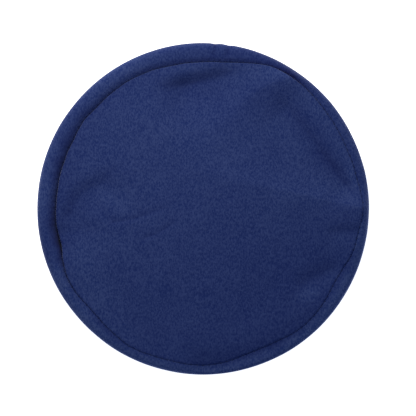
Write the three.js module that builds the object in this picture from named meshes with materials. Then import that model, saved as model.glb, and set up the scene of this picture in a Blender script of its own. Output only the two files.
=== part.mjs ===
// A pakol: a soft round cap of felted cloth. A flat crown disc is sewn to a tube of the same
// cloth, and the tube is rolled up from its hem into a thick brim that grips the head. The tube is
// one cloth on the real cap; here it is divided in the crevice under the bulge, out of sight.
// Millimetres, +Z up. The origin is on the floor under the middle of the crown, +X is the
// wearer's left and the front is towards -Y.
import * as THREE from "three";
import { LoftGeometry } from "three/addons/geometries/LoftGeometry.js";

// Overall sizes
const RIM_RADIUS = 123; // the round outline seen from above
const HEIGHT = 76; // floor to the middle of the crown
const HEAD_RADIUS = 93; // the opening, for a head of about 58 cm
const CLOTH = 2.4; // thickness of the felted cloth

// Crown
const CROWN_DOME = 2; // the middle stands this far above the rim
const CROWN_RINGS = [0, 0.16, 0.31, 0.44, 0.55, 0.65, 0.74, 0.82, 0.89, 0.95]; // shares of the way out

// Seam between the crown and the side: the two edges turn down and meet face to face
const SEAM_GAP = 0.6; // clear space between the two edges
const SEAM_LIP = 3.2; // radius of the rounded edge on each side of the groove

// Side band: it bulges out from the seam, round the rim and in under it
const SHOULDER_WIDTH = 15;
const SHOULDER_RISE = 14;
const SHOULDER_SQUARENESS = { above: 4.2, below: 2.4 }; // 2 is a true oval, more is fuller
const SHOULDER_STEPS = { above: 5, below: 3 }; // its widest part, at a quarter turn
const SHOULDER_END = 165; // degrees from the top of the bulge
const BAND_GAP = 0.4; // clear space where the band meets the neck of the brim

// Rolled brim: the tube goes down the head side, turns under and winds up into a tall oval, which
// is wound cloth all through
const ROLL_WIDTH = 28.8; // over the outside of the cloth, at the start of the turn
const ROLL_RISE = 49.1; // up and down, likewise
const ROLL_PITCH = 3.0; // the cloth comes this far in over one turn
const ROLL_SHOWN = { turn: 300, steps: 20 }; // where it goes under its own first turn
const ROLL_SQUARENESS = 2.35; // as for the shoulder
const ROLL_FLATTENED = 1.8; // how far its own weight presses the roll flat on the floor
const NECK_STEPS = { all: 6, clear: 3 }; // from the band to the head side, and clear of the roll
const NECK_PULL = { across: 0.75, up: 0.95 }; // how far its bend is drawn into the corner

const SECTIONS = 60; // round the hat

// How far the seam lies inside the outline, by angle from +X: the roll pulls it in unevenly
const SEAM_INSETS = [
  { angle: 0, inset: 5.3 },
  { angle: 10, inset: 7.2 },
  { angle: 28, inset: 7.8 },
  { angle: 42, inset: 6.6 },
  { angle: 58, inset: 4.5 },
  { angle: 66, inset: 6.6 },
  { angle: 80, inset: 13.1 },
  { angle: 97, inset: 14.7 },
  { angle: 122, inset: 13.5 },
  { angle: 150, inset: 14.2 },
  { angle: 172, inset: 13.7 },
  { angle: 193, inset: 14.6 },
  { angle: 208, inset: 10.3 },
  { angle: 222, inset: 11.2 },
  { angle: 241, inset: 7.8 },
  { angle: 256, inset: 8.0 },
  { angle: 270, inset: 7.1 },
  { angle: 282, inset: 9.6 },
  { angle: 293, inset: 11.2 },
  { angle: 311, inset: 8.9 },
  { angle: 331, inset: 11.6 },
  { angle: 345, inset: 7.8 },
];

// Soft ridges and dents of the crown: the line of each from its start to its end, its height at
// both, and how far it spreads to the left and right of that line
const FOLD_ROUNDNESS = 1.5; // 2 is a round swell, 1 a sharp crease
const CROWN_FOLDS = [
  { x: 116, y: 1, endX: 12, endY: 24, height: 6.5, endHeight: 1.2, left: 26, right: 15 },
  { x: 59, y: 78, endX: 111, endY: 15, height: -3.2, endHeight: -5.2, left: 8, right: 16 },
  { x: 56, y: 100, endX: 16, endY: 50, height: 4.2, endHeight: 0.6, left: 13, right: 11 },
  { x: -19, y: 89, endX: 8, endY: 95, height: -6.8, endHeight: -5.4, left: 9, right: 20 },
  { x: -95, y: 3.5, endX: -79, endY: 13.5, height: -3.2, endHeight: -2.6, left: 9, right: 18 },
  { x: -104, y: -20, endX: -80, endY: -18, height: -2.8, endHeight: -0.8, left: 9, right: 16 },
  { x: 93, y: -47, endX: 76, endY: -55, height: -2.6, endHeight: -2.4, left: 9, right: 8 },
  { x: 3, y: -120, endX: 88, endY: -90, height: -3.6, endHeight: -3, left: 12, right: 12 },
];

const { clamp, degToRad, lerp } = THREE.MathUtils;
const point = (r, z) => new THREE.Vector2(r, z);

// The seam's inset at any angle, on a smooth closed curve through the table's rows
const insetCurve = (() => {
  const rows = [-2, -1, ...SEAM_INSETS.keys(), SEAM_INSETS.length, SEAM_INSETS.length + 1];
  return rows.map((row) => {
    const turn = Math.floor(row / SEAM_INSETS.length);
    const { angle, inset } = SEAM_INSETS[row - turn * SEAM_INSETS.length];
    return { angle: angle + 360 * turn, inset };
  });
})();

function seamInset(degrees) {
  const next = insetCurve.findIndex(({ angle }) => angle > degrees);
  const [a, b, c, d] = insetCurve.slice(next - 2, next + 2);
  const t = (degrees - b.angle) / (c.angle - b.angle);
  const slopeB = ((c.inset - a.inset) / (c.angle - a.angle)) * (c.angle - b.angle);
  const slopeC = ((d.inset - b.inset) / (d.angle - b.angle)) * (c.angle - b.angle);
  return (
    b.inset * (1 + 2 * t) * (1 - t) ** 2 +
    slopeB * t * (1 - t) ** 2 +
    c.inset * t * t * (3 - 2 * t) +
    slopeC * t * t * (t - 1)
  );
}

// Height of the crown's soft folds at a place seen from above
function foldHeight(r, degrees) {
  const place = point(r * Math.cos(degToRad(degrees)), r * Math.sin(degToRad(degrees)));
  return CROWN_FOLDS.reduce((sum, { x, y, endX, endY, height, endHeight, left, right }) => {
    const from = place.clone().sub(point(x, y));
    const run = point(endX - x, endY - y);
    const along = from.dot(run) / run.length();
    const aside = run.cross(from) / run.length();
    const beyond = Math.max(0, -along, along - run.length()) / ((left + right) / 2);
    const spread = aside > 0 ? left : right;
    const crest = lerp(height, endHeight, clamp(along / run.length(), 0, 1));
    return sum + crest * Math.exp(-(Math.abs(aside / spread) ** FOLD_ROUNDNESS) - beyond ** 2);
  }, 0);
}

// The bulge of the rim in a section: a full oval from the top of the crown round to the underside
const rimMiddle = point(RIM_RADIUS - SHOULDER_WIDTH, HEIGHT - CROWN_DOME - SHOULDER_RISE);

function rimPoint(turn, depth = 0) {
  const { above, below } = SHOULDER_SQUARENESS;
  const squareness = turn < Math.PI / 2 ? above : below;
  const across = Math.sin(turn);
  const up = Math.cos(turn);
  const fullness = (Math.abs(across) ** squareness + Math.abs(up) ** squareness) ** (-1 / squareness);
  return point(
    rimMiddle.x + (SHOULDER_WIDTH - depth) * fullness * across,
    rimMiddle.y + (SHOULDER_RISE - depth) * fullness * up,
  );
}

// Height of the bulge's upper half over its middle, by its share of the way out to the outline
function shoulderHeight(share) {
  const { above: squareness } = SHOULDER_SQUARENESS;
  return SHOULDER_RISE * (1 - share ** squareness) ** (1 / squareness);
}

// Where the seam sits on that bulge: its place, how far a fold lifts it, the way out across it and
// the way up
function seamFrame(degrees) {
  const { above: squareness } = SHOULDER_SQUARENESS;
  const across = 1 - seamInset(degrees) / SHOULDER_WIDTH;
  const rise = shoulderHeight(across) / SHOULDER_RISE;
  const turn = Math.atan2(across, rise);
  const up = point(
    across ** (squareness - 1) / SHOULDER_WIDTH,
    rise ** (squareness - 1) / SHOULDER_RISE,
  ).normalize();
  const place = rimPoint(turn);
  const lift = foldHeight(place.x, degrees);
  place.y += lift;
  return { turn, place, lift, out: point(up.y, -up.x), up };
}

const onSeam = ({ place, out, up }, across, above) =>
  place.clone().addScaledVector(out, across).addScaledVector(up, above);

// The edge of a cloth at the seam, from its face over the lip to its raw end and its underside.
// The side is -1 for the crown and 1 for the band.
function seamEdge(seam, side) {
  const rounding = SEAM_LIP * (1 - Math.SQRT1_2);
  const edge = {
    face: { away: SEAM_LIP, below: 0 },
    lip: { away: rounding, below: rounding },
    groove: { away: 0, below: SEAM_LIP },
    rawEnd: { away: CLOTH, below: SEAM_LIP },
    underside: { away: SEAM_LIP, below: CLOTH },
  };
  return Object.fromEntries(
    Object.entries(edge).map(([name, { away, below }]) => [
      name,
      onSeam(seam, side * (SEAM_GAP / 2 + away), -below),
    ]),
  );
}

// Height of the crown's upper face above the floor, with its soft folds
function crownHeight(r, degrees) {
  const shoulder = shoulderHeight(clamp((r - rimMiddle.x) / SHOULDER_WIDTH, 0, 1));
  const dome = CROWN_DOME * (1 - Math.min(1, r / rimMiddle.x) ** 2);
  return rimMiddle.y + shoulder + dome + foldHeight(r, degrees);
}

// The crown in section: out along the top, over its edge and back underneath
function crownSection(degrees) {
  const edge = seamEdge(seamFrame(degrees), -1);
  const top = CROWN_RINGS.map((share) => {
    const r = share * edge.face.x;
    return point(r, crownHeight(r, degrees));
  });
  const underside = top.map(({ x, y }) => point(x, y - CLOTH)).reverse();
  return [...top, edge.face, edge.lip, edge.groove, edge.rawEnd, edge.underside, ...underside];
}

// The band in section: from its edge at the seam round the bulge, and back along its inner face.
// A fold that lifts the seam dies away before the band's widest part.
function bandSection(degrees) {
  const seam = seamFrame(degrees);
  const edge = seamEdge(seam, 1);
  const start = seam.turn + (SEAM_LIP + SEAM_GAP) / SHOULDER_RISE;
  const end = degToRad(SHOULDER_END) - BAND_GAP / 2 / SHOULDER_RISE;
  const { above, below } = SHOULDER_STEPS;
  const turns = Array.from({ length: above + below + 1 }, (_, step) =>
    step < above
      ? lerp(start, Math.PI / 2, step / above)
      : lerp(Math.PI / 2, end, (step - above) / below),
  );
  const face = (depth) =>
    turns.map((turn, step) => {
      const place = rimPoint(turn, depth);
      place.y += seam.lift * Math.max(0, 1 - step / above) ** 2;
      return place;
    });
  return [edge.groove, edge.lip, ...face(0), ...face(CLOTH).reverse(), edge.underside, edge.rawEnd];
}

// The outside of the roll at a turn of its winding: 0 is the head side, 90 the floor
const rollMiddle = point(
  HEAD_RADIUS + ROLL_WIDTH / 2,
  ROLL_RISE / 2 - ROLL_PITCH / 4 - ROLL_FLATTENED,
);

function rollPoint(degrees) {
  const pulledIn = (ROLL_PITCH * degrees) / 360;
  const fuller = (value) => Math.sign(value) * Math.abs(value) ** (2 / ROLL_SQUARENESS);
  const across = (ROLL_WIDTH / 2 - pulledIn) * fuller(Math.cos(degToRad(degrees)));
  const below = (ROLL_RISE / 2 - pulledIn) * fuller(Math.sin(degToRad(degrees)));
  return point(rollMiddle.x - across, Math.max(0, rollMiddle.y - below));
}

// The neck of the brim: from under the band, in over the roll and down its head side
function neckFaces() {
  const start = degToRad(SHOULDER_END) + BAND_GAP / 2 / SHOULDER_RISE;
  const from = rimPoint(start, CLOTH / 2);
  const to = point(HEAD_RADIUS + CLOTH / 2, rollMiddle.y);
  const corner = point(to.x, from.y);
  const curve = new THREE.CubicBezierCurve(
    from,
    from.clone().lerp(corner, NECK_PULL.across),
    to.clone().lerp(corner, NECK_PULL.up),
    to,
  );
  const steps = Array.from({ length: NECK_STEPS.all - 1 }, (_, i) => (i + 1) / NECK_STEPS.all);
  const face = (side) =>
    steps.map((t) => {
      const along = curve.getTangent(t);
      const across = point(-along.y, along.x).multiplyScalar((side * CLOTH) / 2);
      return curve.getPoint(t).add(across);
    });
  return {
    crevice: [rimPoint(start), ...face(1).slice(0, NECK_STEPS.clear)],
    head: [rimPoint(start, CLOTH), ...face(-1)],
  };
}

// The brim in section: down the crevice side of the neck, round the outside of the roll from where
// the cloth goes under, and up the head side
function brimSection() {
  const { crevice, head } = neckFaces();
  const { turn, steps } = ROLL_SHOWN;
  const roll = Array.from({ length: steps + 1 }, (_, step) => rollPoint(turn * (1 - step / steps)));
  return [...crevice, ...roll, ...head.reverse()];
}

// Turns a section that changes with the angle into rings round the hat, one for each of its
// points, clockwise as seen from above
function ringsOf(sectionAt) {
  const degrees = Array.from({ length: SECTIONS }, (_, i) => (360 * i) / SECTIONS).reverse();
  const sections = degrees.map(sectionAt);
  return sections[0].map((_, row) =>
    sections.map((section, i) => {
      const { x, y } = section[row];
      const angle = degToRad(degrees[i]);
      return new THREE.Vector3(x * Math.cos(angle), x * Math.sin(angle), y);
    }),
  );
}

function feltPiece(name, rings) {
  const felt = new THREE.MeshStandardMaterial({ color: 0x26325f, roughness: 0.95, metalness: 0 });
  const mesh = new THREE.Mesh(new LoftGeometry(rings), felt);
  mesh.name = name;
  return mesh;
}

const closed = (rings) => [...rings, rings[0]];

const pakol = new THREE.Group();
pakol.add(
  feltPiece("crown", ringsOf(crownSection)),
  feltPiece("side_band", closed(ringsOf(bandSection))),
  feltPiece("rolled_brim", closed(ringsOf(brimSection))),
);

export default pakol;
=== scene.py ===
"""A navy pakol of brushed felt: its cloth, its stitches, and a pale studio seen from straight above.

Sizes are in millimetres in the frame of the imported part: +Z up, the origin on the floor under the
middle of the crown, the back of the hat towards +Y, angles in degrees from +X towards +Y. Meshes, the
studio and the cut sizes of the cloth are in metres.
"""

from typing import NamedTuple

import bmesh
import bpy
import numpy as np
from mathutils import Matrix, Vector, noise


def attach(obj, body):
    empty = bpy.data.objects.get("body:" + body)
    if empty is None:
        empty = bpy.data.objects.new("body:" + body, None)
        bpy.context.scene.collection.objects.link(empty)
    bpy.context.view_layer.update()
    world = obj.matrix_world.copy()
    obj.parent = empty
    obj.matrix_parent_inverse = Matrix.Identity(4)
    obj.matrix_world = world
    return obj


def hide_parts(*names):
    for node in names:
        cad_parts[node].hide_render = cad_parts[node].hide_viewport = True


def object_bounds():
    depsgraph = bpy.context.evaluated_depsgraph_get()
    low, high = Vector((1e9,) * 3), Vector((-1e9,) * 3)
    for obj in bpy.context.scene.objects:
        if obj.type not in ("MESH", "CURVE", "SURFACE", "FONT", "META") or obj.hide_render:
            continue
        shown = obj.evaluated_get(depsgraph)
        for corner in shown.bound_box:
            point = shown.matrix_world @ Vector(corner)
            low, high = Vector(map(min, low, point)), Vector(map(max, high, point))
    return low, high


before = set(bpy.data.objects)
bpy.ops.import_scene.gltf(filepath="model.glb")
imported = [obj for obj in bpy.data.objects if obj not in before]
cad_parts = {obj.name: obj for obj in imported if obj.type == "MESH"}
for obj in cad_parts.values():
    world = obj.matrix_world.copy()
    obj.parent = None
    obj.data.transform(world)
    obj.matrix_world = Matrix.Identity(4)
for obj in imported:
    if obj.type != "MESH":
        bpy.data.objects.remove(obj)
CAD_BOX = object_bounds()

MM = 0.001


def table(columns, *rows):
    """A short table with named columns."""
    return np.array(list(rows), dtype=[(name, float) for name in columns.split()])


class Waves(NamedTuple):
    """Soft unevenness of the cloth round the hat."""

    height: float
    length: float  # of one wave, at the rim
    change: float = 1.0  # length of cloth, or degrees of the roll, over which the waves change
    offset: float = 0.0  # this and the start choose a place in the noise
    start: float = 0.0

    def at(self, degrees, along=0.0):
        """The height at an angle, by the length of cloth or by the winding of the roll."""
        x, y = plan(RIM_RADIUS / self.length, degrees)
        return self.height * soft_noise(x + self.offset, y - self.offset, along / self.change + self.start)


# Overall sizes
RIM_RADIUS = CAD_BOX[1].x / MM
HEIGHT = 76.0  # floor to the middle of the crown
HEAD_RADIUS = 93.0
CLOTH = 2.4  # thickness of the felt

# Crown and shoulder
CROWN_DOME = 2.0  # the middle stands this far above the rim
CROWN_WAVES = table("height length start", (0.35, 34, 1.7), (0.16, 13, 4.1))
SHOULDER_WIDTH = 15.0
SHOULDER_RISE = 14.0
SHOULDER_END = 165.0  # degrees from the top of the bulge
RIM_MIDDLE_R = RIM_RADIUS - SHOULDER_WIDTH
RIM_MIDDLE_Z = HEIGHT - CROWN_DOME - SHOULDER_RISE
RIM_SQUARENESS = 4.2  # above its widest line: 2 is a true oval, more is flatter with a tighter corner
RIM_SQUARENESS_BELOW = 2.4

# Ring of the side that shows outside the crown, and its underside
PUFF_LEAN = 1.5  # the larger, the nearer to the outline the ring swells most
FOLD_REACH = 9.0  # how far the crown's folds run out over the ring
LIP_WAVES = Waves(0.3, 11, change=30)
LIP_REACH = 9.0
RING_WAVES = Waves(0.25, 40, change=25, offset=7.3)
UNDERSIDE_WAVES = Waves(1.4, 52, change=60, offset=9.4)
UNDERSIDE_CREASES = Waves(0.9, 15, change=40, offset=3.1)

# Degrees from the top of the bulge between which things come in, or fade where the first is larger
GROOVE_FADES = (85, 55)
UNDERSIDE_WAVES_COME = (90, 140)
UNDERSIDE_CREASES_COME = (105, 150)
RING_PAINTED_LIGHT_FADES = (130, 75)
RING_EDGE_FADES = (150, 90)

# Seam between the crown and the side
SEAM_GAP = 0.2
SEAM_ALLOWANCE = 6.0
SEAM_WOBBLE = Waves(0.35, 9, start=2.2)
SEAM_LIMIT = 0.5  # it stays this far inside the outline
STITCHES = 164  # round the whole seam
PUCKER_DEPTH = 0.2  # how far each stitch pulls the groove down
PUCKER_SHARE = 0.12  # and how much further, as a share of the groove's depth
PUCKER_REACH = 2.4
PUCKER_UNEVEN = Waves(0.6, 9, start=0.3)
STITCH_REACH = 0.6  # from the seam to where the thread goes in, on each side
STITCH_BOW = 0.08
STITCH_SLANT = 24.0  # degrees
STITCH_SLANTS = (0.6, 1.4)  # each stitch has that slant times a number between these
STITCH_SEED = 3
THREAD = 0.32
THREAD_STEPS = 5  # along a stitch and round it

# Tone painted on the felt, where 1 is the plain crown's: above it painted light, below it painted shade
SIDE_TONE_AND_SHEEN = 1.12  # the side is painted lighter than the crown: partly its own tone, partly painted sheen
CROWN_SHADE = 0.12  # painted shade at the edge of the crown, for each millimetre of the groove's depth
CROWN_SHADE_REACH = 2.2
RING_SHADE_REACH = 4.6  # painted shade beside the seam reaches this far over the ring, or as far as the groove, where that is wider
RING_SHADE_UNEVEN = Waves(0.6, 6, start=0.8)
RING_EDGE = (RIM_RADIUS - 8, RIM_RADIUS - 1)  # where the painted light and shade of the ring's outer edge come in

# Rolled brim
ROLL_WIDTH = 26.4
ROLL_RISE = 46.7
ROLL_PITCH = 3.0
ROLL_TURNS = 1.75
ROLL_SQUARENESS = 2.35
ROLL_FLATTENED = 1.8
ROLL_MIDDLE_R = HEAD_RADIUS + CLOTH / 2 + ROLL_WIDTH / 2
ROLL_MIDDLE_Z = ROLL_RISE / 2 - ROLL_PITCH / 4 + CLOTH / 2 - ROLL_FLATTENED
ROLL_WAVES = Waves(2.0, 62, change=140, offset=1.9)
ROLL_RIPPLES = Waves(0.6, 21, change=60, offset=5.2)
ROLL_CREASES = Waves(1.0, 17, change=90, offset=8.8)
ROLL_WAVES_SHOW = ((95, 140), (345, 300))  # degrees of the winding where they come in and fade
ROLL_CREASES_SHOW = ((200, 262), (330, 285))

# Neck between the shoulder and the roll, as shares of its width and height
NECK_REACH = 0.75  # how far it leads on level
NECK_RISE = 0.95  # where it turns down

# Where the ends of the side strip are joined into a tube, at the back
JOIN_ANGLE = 83.5
JOIN_DEPTH = 0.45
JOIN_WIDTH = 2.2
JOIN_LAP = 5.0  # from the middle of the join to the groove on each side
JOIN_DEPTH_COMES = (2, 6)  # distances from the seam
# painted shade in the two grooves beside the join
JOIN_SHADE = 0.24
JOIN_SHADE_COMES = (1, 6)

# Felt and thread: their colours, and how strongly each pattern of the felt shows
FELT_DARK = (0.0052, 0.0147, 0.0813, 1)
FELT_LIGHT = (0.0223, 0.0372, 0.1184, 1)
GRAIN_CONTRAST = 4.1
TUFT_CONTRAST = 0.5
CLOUD_CONTRAST = 0.35
TUFT_RELIEF = 0.8  # times the grain's
PAINTED_TONE_RED = 1.2  # powers of the painted tone for red and blue: painted light makes it greyer as well as lighter, painted shade bluer as well as darker
PAINTED_TONE_BLUE = 0.5
THREAD_DARK = (0.0052, 0.0110, 0.048, 1)
THREAD_LIGHT = (0.0125, 0.0240, 0.098, 1)

# Studio, in metres and watts
FLOOR_REACH = 20.0
KEY_PLACE = (-0.164, 0.451, 0.446)
KEY_WIDTH = 0.22
KEY_POWER = 4.45
KEY_COLOUR = (1.0, 0.926, 0.769)
SKY_FILL = (0.245, 0.33, 0.52)  # the light of the sky; to the camera the sky is white
CAMERA_PLACE = (3.59 * MM, 0.52 * MM, 3.060)
CAMERA_SENSOR = 36.0  # this and the lens in millimetres
CAMERA_LENS = 349.7
CAMERA_REACH = 50.0

# Mesh steps
CROWN_COLUMNS = 984
SIDE_COLUMNS = 656
RIM_POINTS = 2000
CROWN_ROWS = 34  # from the middle of the crown to the near rows
NEAR_SEAM = 25.0
NEAR_ROWS = 14  # from there to the groove
GROOVE_ROWS = 20
CROWN_GROOVE = 7.5  # the finest rows lie this close to the seam
CROWN_CROWDING = 1.8  # the larger, the more these rows crowd towards the seam
RING_GROOVE = 4.0
RING_CROWDING = 1.5
RING_ROWS = 34
NECK_ROWS = 10
ROLL_STEP = 10  # degrees of the winding
HIDDEN_STEP = 3  # of those steps, on the layers inside the roll
UNDER_STEP = 4  # rows of the upper face for each row underneath
SEAM_BEND = 1.25 * CLOTH  # no row underneath is this close to the seam, where the cloth bends down

# How far the seam lies inside the outline, by angle: the roll pulls it in unevenly
SEAM_INSETS = table(
    "angle inset",
    (0, 4.9), (10, 6.8), (28, 7.8), (41, 6.9), (48, 5.9), (57, 5.7), (65, 6.3), (70, 8.9),
    (75, 11.2), (80, 13.1), (86, 14.2), (97, 14.7), (122, 13.5), (136, 14.2), (143, 13.4),
    (151, 14.2), (170, 14.2), (178, 14.1), (184, 13.7), (189, 13.9), (194, 14.5), (200, 12.3),
    (206, 10.6), (211, 10.2), (222, 11.2), (230, 10.3), (236, 8.8), (243, 7.5), (254, 8.1),
    (270, 7.1), (277, 8.0), (285, 10.5), (293, 11.2), (300, 10.5), (307, 9.0), (316, 9.0),
    (325, 10.6), (331, 11.6), (337, 10.5), (343, 8.2), (352, 6.9),
)

# How deep the seam lies, how far its groove spreads over the crown and over the ring outside it, how high
# that ring starts beside the crown, how far it swells, how much shade is painted on the ring in the groove,
# the painted tone of the ring above it, darker on the lit back and lighter at the front, and the painted
# light (above 0) and painted shade (below 0) added at its outer edge
SEAM_GROOVES = table(
    "angle depth crown ring level puff shade nap edge",
    (4, 0.40, 0.80, 2.2, 0, 1.1, 0.36, 1.12, 0.09),
    (20, 0.35, 0.80, 2.5, 0, 1.1, 0.27, 1.02, 0.10),
    (36, 0.40, 0.80, 2.3, 0, 1.0, 0.24, 0.98, 0.02),
    (48, 0.60, 0.70, 2.2, 0, 0.8, 0.24, 0.82, -0.02),
    (57, 0.90, 0.90, 3.0, 0, 1.0, 0.58, 0.68, -0.18),
    (68, 0.80, 0.60, 3.0, 0, 1.2, 0.36, 0.70, -0.10),
    (82, 1.00, 0.60, 4.0, 0, 1.6, 0.21, 0.76, -0.04),
    (97, 1.30, 0.60, 4.8, 0, 2.0, 0.27, 0.80, -0.06),
    (122, 1.80, 0.60, 6.0, 0, 1.9, 0.20, 1.04, -0.13),
    (150, 2.60, 0.60, 8.0, 0, 2.0, 0.44, 0.87, -0.12),
    (164, 3.00, 0.60, 8.8, 0, 2.0, 0.80, 1.02, -0.04),
    (172, 3.40, 0.60, 8.0, 0, 2.0, 0.70, 1.10, 0.02),
    (188, 3.40, 0.60, 8.0, 0, 2.0, 0.82, 0.94, -0.01),
    (196, 2.70, 0.70, 6.5, 0, 1.9, 0.86, 0.80, 0.04),
    (201, 2.10, 0.80, 5.4, 0, 1.8, 0.64, 1.08, 0.08),
    (217, 0.60, 1.20, 3.5, -0.10, 1.8, 0.50, 1.33, 0.10),
    (228, 0.50, 1.35, 2.8, -0.15, 1.7, 0.60, 1.17, 0.34),
    (248, 0.40, 1.50, 1.8, -0.20, 1.6, 0.44, 1.32, 0.26),
    (270, 0.33, 1.80, 1.6, -0.20, 1.5, 0.38, 1.32, 0.20),
    (290, 0.38, 1.80, 1.6, -0.30, 1.8, 0.42, 1.09, 0.16),
    (301, 0.32, 1.65, 1.6, -0.22, 1.8, 0.44, 1.06, 0.26),
    (312, 0.25, 1.50, 1.6, -0.15, 1.8, 0.38, 1.38, 0.32),
    (330, 0.45, 1.50, 1.6, -0.30, 1.8, 0.48, 1.12, 0.52),
    (339, 0.38, 1.30, 2.2, -0.20, 1.6, 0.48, 1.10, 0.42),
    (352, 0.20, 0.90, 1.6, -0.05, 1.2, 0.06, 1.40, 0.12),
)

# Soft ridges and dents of the crown: the line of each from its start to its end, how far its middle bows
# to the left, its height at both ends, how far it spreads to the left and right of that line, how rounded
# it is (2 is round, 1 a sharp crease), and the painted light (above 0) and painted shade (below 0) on it
CROWN_FOLDS = table(
    "x y end_x end_y bow height end_height left right round nap",
    (116, 1, 12, 24, 0, 6.5, 1.2, 26, 13, 1.25, 0),
    (63, 72, 104, 17, 0, -3.4, -5.2, 6.5, 16, 1.4, 0),
    (63, 96.5, 17, 63.5, -6, 4.0, 0.6, 13, 11, 1.5, -0.07),
    (-12, 89.6, 10, 94.6, 0, -6.8, -5.2, 8, 25, 2, -0.12),
    (-95, -4, -75, 16, 4.5, -3.0, -2.8, 8, 17, 2, -0.06),
    (-104, -20, -80, -18, 0, -2.8, -0.8, 8, 16, 2, 0),
    (93, -47, 76, -55, 0, -2.3, -2.1, 9, 7.5, 1.8, 0.02),
    (112, -17, 98, -18, 0, -1.5, -1.2, 7, 4.5, 2, 0.06),
    (40, -60, 75, -42, 0, -0.4, -0.4, 22, 22, 2, -0.09),
    (3, -120, 88, -90, -8, -3.6, -3.0, 12, 12, 2, -0.02),
    (-77, 3, -66, -9.5, -1, -0.4, -0.5, 2.5, 2.0, 1.5, -0.10),
    (-65, -10, -31, 0, -1.5, -0.5, -0.4, 2.5, 2.0, 1.5, -0.12),
    (-43, -21.5, -22, -10.5, -1.5, -0.5, -0.3, 2.5, 2.0, 1.5, -0.12),
)

# Places with painted light (above 0) and painted shade (below 0) and no change of height, with lines and
# spreads as above
CROWN_PAINTED_LIGHT = table(
    "x y end_x end_y bow left right round nap",
    (104, 13, 86, 16, 0, 5, 10, 2, 0.17),
    (85, 5.5, 54, 12, 0, 5, 5, 2, 0.18),
    (113, 3, 106, 5, 0, 5, 5, 2, 0.12),
    (42, 3, 56, -1, 0, 12, 12, 2, 0.09),
    (70, 70, 105, 21, 0, 6, 9, 2, -0.17),
    (87.5, 41, 108, 18, 0, 4, 4, 4, -0.12),
    (58, 60, 72, 44, 0, 8, 8, 2, 0.10),
    (109, 27, 112, 20, 0, 4, 4, 2, 0.22),
    (113, 22, 66, 95, -5, 5, 5, 2, 0.13),
    (40, 40, 50, 46, 0, 9, 9, 2, -0.07),
    (57, 102, 51, 101, 0, 8, 8, 2, 0.16),
    (-20, 45, 55, 45, 0, 16, 16, 2, 0.04),
    (-16, 102, 0, 104, 0, 4, 4, 2, 0.11),
    (-32, 85, 10, 88, 0, 7, 7, 2, -0.08),
    (-46, 100, -106, 10, -16, 14, 9, 2, -0.13),
    (-40, 15, -34, 17, 0, 8, 8, 2, 0.08),
    (-70, 8, -60, 3, 0, 10, 10, 2, 0.14),
    (-101, -4, -96, 13, 0, 4, 4, 2, -0.09),
    (-106, -13, -100, -38, 0, 7, 7, 2, -0.12),
    (-106, -27, -98, -26, 0, 5, 5, 2, -0.16),
    (-92, -20, -84, -22, 0, 7, 7, 2, -0.08),
    (-94, -34, -76, -70, 0, 14, 14, 2, 0.20),
    (-76, -24, -60, -24, 0, 9, 9, 2, 0.10),
    (-45, -11.5, -36, -9.5, 0, 4, 4, 2, 0.08),
    (-66, -84, -54, -94, 0, 8, 8, 2, 0.12),
    (-22, -49, 11, -66, 0, 6, 6, 2, -0.06),
    (-12, -112, 91, -62, -13.5, 5, 5, 2, -0.09),
    (75, -65, 81, -62.5, 0, 5.5, 5.5, 2, 0.28),
)


def plan(r, degrees):
    """x and y from a radius and an angle."""
    turn = np.radians(degrees)
    return r * np.cos(turn), r * np.sin(turn)


def by_angle(rows, column, degrees):
    """A table's column at any angle, on a smooth closed curve through its rows."""
    angle = np.concatenate([rows["angle"] + turn for turn in (-360, 0, 360)])
    value = np.tile(rows[column], 3)
    slope = np.gradient(value, angle)
    cell = np.searchsorted(angle, degrees, side="right") - 1
    span = angle[cell + 1] - angle[cell]
    t = (degrees - angle[cell]) / span
    return (
        value[cell] * (1 + 2 * t) * (1 - t) ** 2
        + slope[cell] * span * t * (1 - t) ** 2
        + value[cell + 1] * t**2 * (3 - 2 * t)
        + slope[cell + 1] * span * t**2 * (t - 1)
    )


def smooth(low, high, value):
    """0 at low and 1 at high, level beyond them, and an even rise between."""
    t = np.clip((value - low) / (high - low), 0, 1)
    return t * t * (3 - 2 * t)


def between(comes, fades, value):
    """1 between two ranges, and a smooth change to 0 through each."""
    return smooth(*comes, value) * smooth(*fades, value)


def soft_noise(*coordinates):
    """Smooth noise between about -1 and 1 at each point of three arrays."""
    points = np.stack(np.broadcast_arrays(*coordinates), axis=-1)
    values = [noise.noise(point) for point in points.reshape(-1, 3)]
    return np.reshape(values, points.shape[:-1])


def section_normals(r, z):
    """Unit normals to the left of each column's line of points."""
    step_r = np.diff(r, axis=0)
    step_z = np.diff(z, axis=0)
    length = np.hypot(step_r, step_z)
    step_r, step_z = step_r / length, step_z / length
    along_r = np.concatenate([step_r[:1], step_r[:-1] + step_r[1:], step_r[-1:]])
    along_z = np.concatenate([step_z[:1], step_z[:-1] + step_z[1:], step_z[-1:]])
    length = np.hypot(along_r, along_z)
    return -along_z / length, along_r / length


def fuller(value, squareness):
    """Bends a sine or cosine so that an oval fills out towards its corners."""
    return np.sign(value) * np.abs(value) ** (2 / squareness)


def facing(out, up):
    """Degrees by which a face of the bulge is turned from straight up, out and down."""
    return np.degrees(np.arctan2(out, up))


def rim_line():
    """The bulge of the rim in section, from the top of the crown to its underside, by length of cloth."""
    turn = np.radians(np.linspace(0, SHOULDER_END, RIM_POINTS))
    squareness = np.where(np.cos(turn) > 0, RIM_SQUARENESS, RIM_SQUARENESS_BELOW)
    r = RIM_MIDDLE_R + SHOULDER_WIDTH * fuller(np.sin(turn), squareness)
    z = RIM_MIDDLE_Z + SHOULDER_RISE * fuller(np.cos(turn), squareness)
    length = np.concatenate([[0], np.cumsum(np.hypot(np.diff(r), np.diff(z)))])
    out, up = section_normals(r[:, None], z[:, None])
    return {"length": length, "r": r, "z": z, "out": out[:, 0], "up": up[:, 0]}


RIM = rim_line()
RIM_WIDEST = np.interp(90, facing(RIM["out"], RIM["up"]), RIM["length"])


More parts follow.
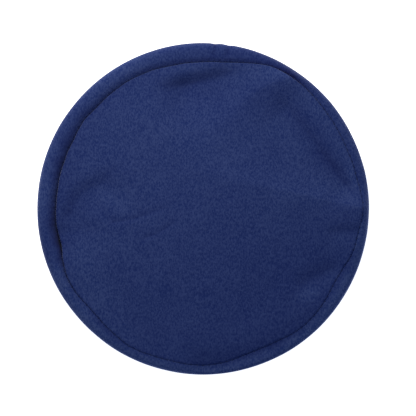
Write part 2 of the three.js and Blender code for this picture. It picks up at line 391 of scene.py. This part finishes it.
def rim_profile(walk):
    """Place and outward normal in the rim's section, by the length of cloth from the top of the bulge."""
    r, z, out, up = (np.interp(walk, RIM["length"], RIM[name]) for name in ("r", "z", "out", "up"))
    r = r + np.minimum(walk, 0)
    z = z + CROWN_DOME * (1 - np.minimum(1, r / RIM_MIDDLE_R) ** 2)
    return r, z, out, up


def seam_walk(degrees):
    """Where the seam lies on the rim's section."""
    inset = by_angle(SEAM_INSETS, "inset", degrees) + SEAM_WOBBLE.at(degrees)
    shoulder = RIM["r"] < RIM_RADIUS - SEAM_LIMIT
    shoulder[RIM_POINTS // 2 :] = False
    return np.interp(RIM_RADIUS - inset, RIM["r"][shoulder], RIM["length"][shoulder])


def streak(line, x, y):
    """How strongly a table's line bears on each point, and which part of its length the point is beside."""
    run_x = line["end_x"] - line["x"]
    run_y = line["end_y"] - line["y"]
    run = np.hypot(run_x, run_y)
    along = ((x - line["x"]) * run_x + (y - line["y"]) * run_y) / run
    aside = ((y - line["y"]) * run_x - (x - line["x"]) * run_y) / run
    part = np.clip(along / run, 0, 1)
    aside -= line["bow"] * 4 * part * (1 - part)
    spread = np.where(aside > 0, line["left"], line["right"])
    beyond = np.maximum(0, np.maximum(-along, along - run)) / (0.5 * (line["left"] + line["right"]))
    return np.exp(-(np.abs(aside / spread) ** line["round"]) - beyond**2), part


def folds(r, degrees):
    """Height of the crown's soft folds at a place seen from above, and the painted light and shade laid
    there.
    """
    x, y = plan(r, degrees)
    height = np.zeros(x.shape)
    nap = np.zeros(x.shape)
    for fold in CROWN_FOLDS:
        shape, part = streak(fold, x, y)
        height += (fold["height"] + (fold["end_height"] - fold["height"]) * part) * shape
        # painted light and shade along each fold
        nap += fold["nap"] * shape
    for line in CROWN_PAINTED_LIGHT:
        nap += line["nap"] * streak(line, x, y)[0]
    return height, nap


def groove_depth(away, degrees, side):
    """How far the cloth on one side of the seam is drawn down, by its distance from it."""
    reach = by_angle(SEAM_GROOVES, side, degrees)
    depth = by_angle(SEAM_GROOVES, "depth", degrees)
    pull = 0.5 + 0.5 * np.cos(np.radians(degrees) * STITCHES)
    strength = (PUCKER_DEPTH + PUCKER_SHARE * depth) * (1 + PUCKER_UNEVEN.at(degrees))
    pucker = strength * pull**2 * np.exp(-((away / np.minimum(reach, PUCKER_REACH)) ** 2))
    return depth * np.maximum(0, 1 - away / reach) ** 2 + pucker


def in_metres(r, z, degrees):
    """Points in metres from rings of radii and heights."""
    return np.stack([*plan(r, degrees), z], axis=-1) * MM


def add_piece(mesh):
    """An object at the origin that holds a mesh."""
    piece = bpy.data.objects.new(mesh.name, mesh)
    bpy.context.collection.objects.link(piece)
    return piece


def skin(name, r, z, nap, degrees, closed):
    """A mesh object over rings of points: a closed section, or one that starts and ends on the axis."""
    rows, columns = r.shape
    places = in_metres(r, z, degrees)
    index = np.arange(rows * columns).reshape(rows, columns)
    if closed:
        index = np.concatenate([index, index[:1]])
    else:
        index[0] = index[0, 0]
        index[-1] = index[-1, 0]
    beside = np.roll(index, -1, axis=1)
    corners = np.stack([index[:-1], index[1:], beside[1:], beside[:-1]], axis=-1)
    faces = [list(dict.fromkeys(face)) for face in corners.reshape(-1, 4).tolist()]
    mesh = bpy.data.meshes.new(name)
    mesh.from_pydata(places.reshape(-1, 3).tolist(), [], faces)
    # the painted light and shade ride on the mesh, to scale the felt's colour
    mesh.attributes.new("nap", "FLOAT", "POINT").data.foreach_set("value", nap.ravel())
    if not closed:
        drop_unused(mesh)
    mesh.shade_smooth()
    return add_piece(mesh)


def drop_unused(mesh):
    """Removes the spare copies of the two middle points."""
    work = bmesh.new()
    work.from_mesh(mesh)
    spare = [vertex for vertex in work.verts if not vertex.link_faces]
    bmesh.ops.delete(work, geom=spare, context="VERTS")
    work.to_mesh(mesh)
    work.free()


def crown_face(degrees, away):
    """The crown's upper face by the distance in from the seam: place, outward normal, and its painted light
    and shade.
    """
    r, z, out, up = rim_profile(seam_walk(degrees) - SEAM_GAP / 2 - away)
    drawn = groove_depth(away, degrees, "crown")
    height, tone = folds(r, degrees)
    z = z + height - up * drawn
    r = np.maximum(r - out * drawn, 0)
    x, y = plan(r, degrees)
    for wave in CROWN_WAVES:
        z += wave["height"] * soft_noise(x / wave["length"], y / wave["length"], wave["start"])
    # painted shade on the crown's edge beside the groove
    shade = CROWN_SHADE * by_angle(SEAM_GROOVES, "depth", degrees)
    return r, z, out, up, 1 + tone - shade * np.maximum(0, 1 - away / CROWN_SHADE_REACH)


def crown():
    """The crown disc: from its middle out to the groove, down the seam ply, and back underneath."""
    degrees = np.linspace(0, 360, CROWN_COLUMNS, endpoint=False)
    middle = seam_walk(degrees) - SEAM_GAP / 2 + RIM_MIDDLE_R
    far = NEAR_SEAM + np.linspace(1, 0, CROWN_ROWS)[:-1, None] * (middle - NEAR_SEAM)
    near = np.linspace(NEAR_SEAM, CROWN_GROOVE, NEAR_ROWS)[:-1]
    groove = CROWN_GROOVE * np.linspace(1, 0, GROOVE_ROWS) ** CROWN_CROWDING
    even = np.concatenate([near, groove])[:, None]
    away = np.concatenate([far, np.repeat(even, CROWN_COLUMNS, axis=1)])
    r, z, out, up, tone = crown_face(degrees, away)
    r = np.concatenate([r, r[-1:] - out[-1:] * SEAM_ALLOWANCE])
    z = np.concatenate([z, z[-1:] - up[-1:] * SEAM_ALLOWANCE])
    left_r, left_z = section_normals(r, z)
    bend = np.count_nonzero(groove < SEAM_BEND)
    under = [len(r) - 1] + list(range(len(away) - 1 - bend, 0, -UNDER_STEP)) + [0]
    under_r = np.maximum(r - CLOTH * left_r, 0)[under]
    under_z = (z - CLOTH * left_z)[under]
    under_r[-1] = 0
    nap = np.ones((len(r) + len(under), CROWN_COLUMNS))
    nap[: len(away)] = tone
    return skin("crown_disc", np.concatenate([r, under_r]), np.concatenate([z, under_z]), nap, degrees, False)


def join_groove(degrees):
    """1 in the two shallow grooves beside the lap where the strip's ends are joined, 0 away from them."""
    arc = np.radians(degrees - JOIN_ANGLE) * RIM_RADIUS
    return np.exp(-(((np.abs(arc) - JOIN_LAP) / JOIN_WIDTH) ** 2))


def ring_face(degrees, away):
    """The side's outer face by the length of cloth from the seam: place, outward normal, and its painted
    tone, light and shade.
    """
    edge = seam_walk(degrees) + SEAM_GAP / 2
    r, z, out, up = rim_profile(edge + away)
    turn = facing(out, up)
    over = np.minimum(1, away / (RIM_WIDEST - edge))
    # dark is the painted shade in the groove, pale the ring's painted tone, paler the painted light and shade
    # at its edge
    depth, reach, level, puff, dark, pale, paler = (
        by_angle(SEAM_GROOVES, column, degrees)
        for column in ("depth", "ring", "level", "puff", "shade", "nap", "edge")
    )
    rise = -groove_depth(away, degrees, "ring") * (1 + level / depth) * smooth(*GROOVE_FADES, turn)
    rise += LIP_WAVES.at(degrees, away) * np.exp(-away / LIP_REACH)
    rise += RING_WAVES.at(degrees, away)
    rise += UNDERSIDE_WAVES.at(degrees, away) * smooth(*UNDERSIDE_WAVES_COME, turn)
    rise -= np.abs(UNDERSIDE_CREASES.at(degrees, away)) * smooth(*UNDERSIDE_CREASES_COME, turn)
    rise -= JOIN_DEPTH * join_groove(degrees) * smooth(*JOIN_DEPTH_COMES, away)
    z = z + folds(r, degrees)[0] * np.exp(-((away / FOLD_REACH) ** 2)) + up * rise
    z += puff * np.sin(np.pi * over**PUFF_LEAN) + level * (1 - over**2)

    # painted shade beside the seam, painted light and shade at the outer edge, painted shade in the grooves
    # of the join
    shaded = np.maximum(RING_SHADE_REACH, reach) * (1 + RING_SHADE_UNEVEN.at(degrees))
    shade = dark * np.maximum(0, 1 - away / shaded)
    shade -= paler * smooth(*RING_EDGE, r) * smooth(*RING_EDGE_FADES, turn)
    shade += JOIN_SHADE * join_groove(degrees) * smooth(*JOIN_SHADE_COMES, away)
    # the ring's painted light and shade scale the side's own tone
    tone = SIDE_TONE_AND_SHEEN * (1 + (pale - 1) * smooth(*RING_PAINTED_LIGHT_FADES, turn) - shade)
    return r + out * rise, z, out, up, tone


def neck(start_r, start_z, end_r, end_z):
    """From the underside of the shoulder, in over the roll and down its head side."""
    t = np.linspace(0, 1, NECK_ROWS + 2)[1:-1, None]
    weights = ((1 - t) ** 3, 3 * t * (1 - t) ** 2, 3 * t**2 * (1 - t), t**3)
    handle_r = start_r + NECK_REACH * (end_r - start_r)
    handle_z = end_z + NECK_RISE * (start_z - end_z)
    r = sum(weight * place for weight, place in zip(weights, (start_r, handle_r, end_r, end_r)))
    z = sum(weight * place for weight, place in zip(weights, (start_z, start_z, handle_z, end_z)))
    return r, z


def roll(wound):
    """The inner face of the rolled cloth: 0 degrees is the head side, 90 the floor, 180 outside."""
    turn = np.radians(wound)
    pulled_in = CLOTH / 2 + ROLL_PITCH * wound / 360
    r = ROLL_MIDDLE_R - (ROLL_WIDTH / 2 - pulled_in) * fuller(np.cos(turn), ROLL_SQUARENESS)
    z = ROLL_MIDDLE_Z - (ROLL_RISE / 2 - pulled_in) * fuller(np.sin(turn), ROLL_SQUARENESS)
    return r, np.maximum(z, CLOTH + ROLL_PITCH * np.floor(wound / 360))


def soft_roll(degrees):
    """The rolled cloth all round the hat, with its waves and creases alike in every layer."""
    wound = np.arange(0, 360 * ROLL_TURNS + 1, ROLL_STEP)
    wound = np.repeat(wound[:, None], SIDE_COLUMNS, axis=1)
    r, z = roll(wound)
    place = wound % 360
    swell = ROLL_WAVES.at(degrees, place) + ROLL_RIPPLES.at(degrees, place)
    swell -= np.abs(ROLL_CREASES.at(degrees, place)) * between(*ROLL_CREASES_SHOW, place)
    swell -= JOIN_DEPTH * join_groove(degrees)
    swell *= between(*ROLL_WAVES_SHOW, place)
    left_r, left_z = section_normals(r, z)
    return r - left_r * swell, z - left_z * swell


def rolled_side():
    """The side cloth: from its seam ply over the lip and shoulder, in at the neck, and up into the roll."""
    degrees = np.linspace(0, 360, SIDE_COLUMNS, endpoint=False)
    rest = RIM["length"][-1] - seam_walk(degrees) - SEAM_GAP / 2
    groove = RING_GROOVE * np.linspace(0, 1, GROOVE_ROWS) ** RING_CROWDING
    ring = RING_GROOVE + np.linspace(0, 1, RING_ROWS)[1:, None] * (rest - RING_GROOVE)
    away = np.concatenate([np.repeat(groove[:, None], SIDE_COLUMNS, axis=1), ring])
    r, z, out, up, tone = ring_face(degrees, away)
    ply_r = r[:1] - out[:1] * SEAM_ALLOWANCE
    ply_z = z[:1] - up[:1] * SEAM_ALLOWANCE
    roll_r, roll_z = soft_roll(degrees)
    neck_r, neck_z = neck(r[-1], z[-1], roll_r[0], roll_z[0])
    face_r = np.concatenate([ply_r, r, neck_r, roll_r])
    face_z = np.concatenate([ply_z, z, neck_z, roll_z])
    left_r, left_z = section_normals(face_r, face_z)
    back_r = face_r - CLOTH * left_r
    back_z = np.maximum(face_z - CLOTH * left_z, 0)

    # Rows of the face down to the hem, then of its back up again, with fewer of them where they are hidden
    roll_start = len(face_r) - len(roll_r)
    once_round = roll_start + 360 // ROLL_STEP
    bend = np.count_nonzero(groove < SEAM_BEND)
    shown = list(range(roll_start)) + list(range(roll_start, len(face_r), HIDDEN_STEP))
    behind = list(range(len(face_r) - 1, once_round, -HIDDEN_STEP)) + list(range(once_round, roll_start, -1))
    behind += list(range(roll_start, bend, -UNDER_STEP)) + [0]
    nap = np.full((len(shown) + len(behind), SIDE_COLUMNS), SIDE_TONE_AND_SHEEN)
    nap[1 : 1 + len(away)] = tone
    section_r = np.concatenate([face_r[shown], back_r[behind]])
    section_z = np.concatenate([face_z[shown], back_z[behind]])
    return skin("side_and_roll", section_r, section_z, nap, degrees, True)


class Value:
    """A number that changes over a surface: a node's socket that takes part in expressions."""

    def __init__(self, tree, socket):
        self.tree = tree
        self.socket = socket

    def maths(self, operation, first, second):
        return self.tree.node("ShaderNodeMath", {"operation": operation}, {0: first, 1: second})

    def __add__(self, other):
        return self.maths("ADD", self, other)

    def __radd__(self, other):
        return self.maths("ADD", other, self)

    def __sub__(self, other):
        return self.maths("SUBTRACT", self, other)

    def __rsub__(self, other):
        return self.maths("SUBTRACT", other, self)

    def __mul__(self, other):
        return self.maths("MULTIPLY", self, other)

    def __rmul__(self, other):
        return self.maths("MULTIPLY", other, self)

    def __pow__(self, other):
        return self.maths("POWER", self, other)


class Tree:
    """A node tree that grows by one call for each node."""

    def __init__(self, nodes):
        self.nodes = nodes

    def node(self, kind, settings, sockets, output=0):
        """Adds a node: its settings first, then the value or link of each socket named."""
        made = self.nodes.nodes.new(kind)
        for name, setting in settings.items():
            setattr(made, name, setting)
        for name, value in sockets.items():
            socket = self.find(made.inputs, name)
            if isinstance(value, Value):
                self.nodes.links.new(value.socket, socket)
            else:
                socket.default_value = value
        return Value(self, self.find(made.outputs, output)) if made.outputs else None

    @staticmethod
    def find(sockets, name):
        if isinstance(name, int):
            return sockets[name]
        return next(socket for socket in sockets if name in (socket.identifier, socket.name))


def new_material(name):
    """An empty material and its tree."""
    material = bpy.data.materials.new(name)
    material.use_nodes = True
    material.node_tree.nodes.clear()
    return material, Tree(material.node_tree)


def noise_texture(tree, place, scale, detail, roughness):
    """Soft noise over a surface, with its scale in waves for each metre."""
    return tree.node(
        "ShaderNodeTexNoise",
        {},
        {"Vector": place, "Scale": scale, "Detail": detail, "Roughness": roughness},
    )


def mixed_colour(tree, tone, dark, light):
    """A colour from dark at a tone of 0 to light at 1."""
    return tree.node(
        "ShaderNodeMix",
        {"data_type": "RGBA"},
        {"Factor_Float": tone, "A_Color": dark, "B_Color": light},
        "Result_Color",
    )


def stitch_nodes(thread):
    """Geometry Nodes that lay a short bowed thread across a path at each of its points."""
    nodes = bpy.data.node_groups.new("stitches_across_seam", "GeometryNodeTree")
    sockets = {
        "Path": "NodeSocketGeometry",
        "Thickness": "NodeSocketFloat",
        "Bow": "NodeSocketFloat",
        "Slant": "NodeSocketFloat",
        "Seed": "NodeSocketInt",
    }
    for name, kind in sockets.items():
        nodes.interface.new_socket(name, in_out="INPUT", socket_type=kind)
    nodes.interface.new_socket("Stitches", in_out="OUTPUT", socket_type="NodeSocketGeometry")
    tree = Tree(nodes)
    path, thickness, bow, slant, seed = (tree.node("NodeGroupInput", {}, {}, name) for name in sockets)

    path = tree.node("GeometryNodeMeshToCurve", {}, {"Mesh": path})
    middle = tree.node("ShaderNodeCombineXYZ", {}, {"Z": bow})
    line = tree.node(
        "GeometryNodeCurveQuadraticBezier",
        {},
        {"Resolution": THREAD_STEPS, "Start": (0, -0.5, 0), "Middle": middle, "End": (0, 0.5, 0)},
    )
    ring = tree.node(
        "GeometryNodeCurvePrimitiveCircle",
        {},
        {"Resolution": THREAD_STEPS, "Radius": 0.5 * thickness},
    )
    stitch = tree.node(
        "GeometryNodeCurveToMesh",
        {},
        {"Curve": line, "Profile Curve": ring, "Fill Caps": True},
    )

    along = tree.node("GeometryNodeInputTangent", {}, {})
    surface = tree.node("GeometryNodeInputNamedAttribute", {"data_type": "FLOAT_VECTOR"}, {"Name": "surface"})
    span = tree.node("GeometryNodeInputNamedAttribute", {"data_type": "FLOAT"}, {"Name": "span"})
    turned = tree.node("FunctionNodeAlignRotationToVector", {"axis": "X"}, {"Vector": along})
    turned = tree.node(
        "FunctionNodeAlignRotationToVector",
        {"axis": "Z", "pivot_axis": "X"},
        {"Rotation": turned, "Vector": surface},
    )
    least, most = STITCH_SLANTS
    uneven = tree.node(
        "FunctionNodeRandomValue",
        {"data_type": "FLOAT"},
        {"Min_001": least, "Max_001": most, "Seed": seed},
        "Value_001",
    )
    slanted = tree.node("ShaderNodeCombineXYZ", {}, {"Z": slant * uneven})
    turned = tree.node(
        "FunctionNodeRotateRotation",
        {"rotation_space": "LOCAL"},
        {"Rotation": turned, "Rotate By": slanted},
    )
    size = tree.node("ShaderNodeCombineXYZ", {}, {"X": 1.0, "Y": span, "Z": 1.0})
    laid = tree.node(
        "GeometryNodeInstanceOnPoints",
        {},
        {"Points": path, "Instance": stitch, "Rotation": turned, "Scale": size},
    )
    laid = tree.node("GeometryNodeRealizeInstances", {}, {"Geometry": laid})
    laid = tree.node("GeometryNodeSetMaterial", {}, {"Geometry": laid, "Material": thread})
    tree.node("NodeGroupOutput", {}, {"Stitches": laid})
    return nodes


def seam_path():
    """A closed line along the seam with a point for each stitch, its span and the way the surface faces."""
    degrees = np.arange(STITCHES) * 360 / STITCHES
    away = np.full((1, STITCHES), STITCH_REACH)
    inner, outer = (in_metres(*face(degrees, away)[:2], degrees)[0] for face in (crown_face, ring_face))
    across = outer - inner
    middle = (inner + outer) / 2
    surface = np.cross(across, np.roll(middle, -1, axis=0) - np.roll(middle, 1, axis=0))
    surface /= np.linalg.norm(surface, axis=1, keepdims=True)
    span = np.linalg.norm(across, axis=1)
    mesh = bpy.data.meshes.new("seam_path")
    mesh.from_pydata(middle.tolist(), [(i, (i + 1) % STITCHES) for i in range(STITCHES)], [])
    mesh.attributes.new("surface", "FLOAT_VECTOR", "POINT").data.foreach_set("vector", surface.ravel())
    mesh.attributes.new("span", "FLOAT", "POINT").data.foreach_set("value", span)
    return mesh


def stitches(thread):
    """The stitches of the crown seam, one in each pucker."""
    mesh = seam_path()
    path = add_piece(mesh)
    laid = path.modifiers.new("stitches", "NODES")
    laid.node_group = stitch_nodes(thread)
    sizes = {
        "Thickness": THREAD * MM,
        "Bow": STITCH_BOW * MM,
        "Slant": np.radians(STITCH_SLANT).item(),
        "Seed": STITCH_SEED,
    }
    for socket in laid.node_group.interface.items_tree:
        if socket.name in sizes:
            laid[socket.identifier] = sizes[socket.name]
    result = path.evaluated_get(bpy.context.evaluated_depsgraph_get())
    sewn = bpy.data.meshes.new_from_object(result)
    sewn.name = "seam_stitches"
    bpy.data.objects.remove(path)
    bpy.data.meshes.remove(mesh)
    sewn.shade_smooth()
    return add_piece(sewn)


def felt():
    """Navy felt with a short brushed pile, its colour scaled by the painted light and shade that the mesh
    carries.
    """
    material, tree = new_material("navy_felt")
    place = tree.node("ShaderNodeTexCoord", {}, {}, "Object")
    brushed = tree.node("ShaderNodeMapping", {}, {"Vector": place, "Scale": (1.0, 0.55, 1.0)})
    grain = noise_texture(tree, brushed, scale=950.0, detail=3.0, roughness=0.65)
    tuft = noise_texture(tree, place, scale=230.0, detail=2.0, roughness=0.5)
    cloud = noise_texture(tree, place, scale=50.0, detail=2.0, roughness=0.5)
    tone = (
        0.5
        + GRAIN_CONTRAST * (grain - 0.5)
        + TUFT_CONTRAST * (tuft - 0.5)
        + CLOUD_CONTRAST * (cloud - 0.5)
    )
    colour = mixed_colour(tree, tone, FELT_DARK, FELT_LIGHT)
    # painted light and shade from the mesh scale the felt's colour
    nap = tree.node("ShaderNodeAttribute", {"attribute_name": "nap"}, {}, "Fac")
    lit = tree.node("ShaderNodeCombineXYZ", {}, {"X": nap**PAINTED_TONE_RED, "Y": nap, "Z": nap**PAINTED_TONE_BLUE})
    colour = tree.node("ShaderNodeVectorMath", {"operation": "MULTIPLY"}, {0: colour, 1: lit})
    height = grain + TUFT_RELIEF * tuft
    bump = tree.node("ShaderNodeBump", {}, {"Strength": 0.5, "Distance": 0.0006, "Height": height})
    shader = tree.node(
        "ShaderNodeBsdfPrincipled",
        {},
        {
            "Base Color": colour,
            "Roughness": 0.95,
            "Specular IOR Level": 0.15,
            "Sheen Weight": 0.18,
            "Sheen Roughness": 0.5,
            "Sheen Tint": (0.35, 0.42, 0.75, 1),
            "Normal": bump,
        },
    )
    tree.node("ShaderNodeOutputMaterial", {}, {"Surface": shader})
    return material


def sewing_thread():
    """Navy thread with a fine twist."""
    material, tree = new_material("navy_thread")
    place = tree.node("ShaderNodeTexCoord", {}, {}, "Object")
    twist = noise_texture(tree, place, scale=2600.0, detail=2.0, roughness=0.6)
    colour = mixed_colour(tree, twist, THREAD_DARK, THREAD_LIGHT)
    bump = tree.node("ShaderNodeBump", {}, {"Strength": 0.4, "Distance": 0.0002, "Height": twist})
    shader = tree.node(
        "ShaderNodeBsdfPrincipled",
        {},
        {"Base Color": colour, "Roughness": 0.75, "Specular IOR Level": 0.3, "Normal": bump},
    )
    tree.node("ShaderNodeOutputMaterial", {}, {"Surface": shader})
    return material


def pale_floor():
    """A wide white floor with a glow of its own, so that it shows hardly any shadow."""
    material, tree = new_material("pale_floor")
    shader = tree.node(
        "ShaderNodeBsdfPrincipled",
        {},
        {
            "Base Color": (0.85, 0.85, 0.85, 1),
            "Roughness": 0.9,
            "Specular IOR Level": 0.0,
            "Emission Color": (1, 1, 1, 1),
            "Emission Strength": 0.95,
        },
    )
    tree.node("ShaderNodeOutputMaterial", {}, {"Surface": shader})
    corners = [(x * FLOOR_REACH, y * FLOOR_REACH, 0) for x, y in ((-1, -1), (1, -1), (1, 1), (-1, 1))]
    mesh = bpy.data.meshes.new("floor")
    mesh.from_pydata(corners, [], [(0, 1, 2, 3)])
    mesh.materials.append(material)
    add_piece(mesh)


def key_light():
    """A round soft light that faces the hat, from behind and a little to the left."""
    lamp = bpy.data.lights.new("key", "AREA")
    lamp.shape = "DISK"
    lamp.size = KEY_WIDTH
    lamp.energy = KEY_POWER
    lamp.color = KEY_COLOUR
    light = bpy.data.objects.new("key", lamp)
    light.location = KEY_PLACE
    light.rotation_euler = (-light.location).to_track_quat("-Z", "Y").to_euler()
    light.visible_camera = False
    bpy.context.collection.objects.link(light)


def even_sky():
    """A sky that lights the hat evenly and is white behind it."""
    world = bpy.data.worlds.new("sky")
    world.use_nodes = True
    world.node_tree.nodes.clear()
    tree = Tree(world.node_tree)
    seen = tree.node("ShaderNodeLightPath", {}, {}, "Is Camera Ray")
    red, green, blue = (fill + (1 - fill) * seen for fill in SKY_FILL)
    colour = tree.node("ShaderNodeCombineXYZ", {}, {"X": red, "Y": green, "Z": blue})
    sky = tree.node("ShaderNodeBackground", {}, {"Color": colour})
    tree.node("ShaderNodeOutputWorld", {}, {"Surface": sky})
    bpy.context.scene.world = world


def high_camera():
    """A camera far above the hat that looks straight down, with the back of the hat at the top."""
    lens = bpy.data.cameras.new("camera")
    lens.sensor_width = CAMERA_SENSOR
    lens.lens = CAMERA_LENS
    lens.clip_end = CAMERA_REACH
    camera = bpy.data.objects.new("camera", lens)
    camera.location = CAMERA_PLACE
    bpy.context.collection.objects.link(camera)
    bpy.context.scene.camera = camera
    bpy.context.scene.view_settings.view_transform = "Standard"


def main():
    """Sets up the studio, makes the pieces, hides the parts of model.glb that they stand in for and attaches
    them to the body.
    """
    pale_floor()
    key_light()
    even_sky()
    high_camera()
    navy = felt()
    disc = crown()
    side = rolled_side()
    sewn = stitches(sewing_thread())
    for piece, nodes in ((disc, ["crown"]), (side, ["side_band", "rolled_brim"])):
        piece.data.materials.append(navy)
        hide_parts(*nodes)
    for piece in (disc, side, sewn):
        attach(piece, "root")


main()
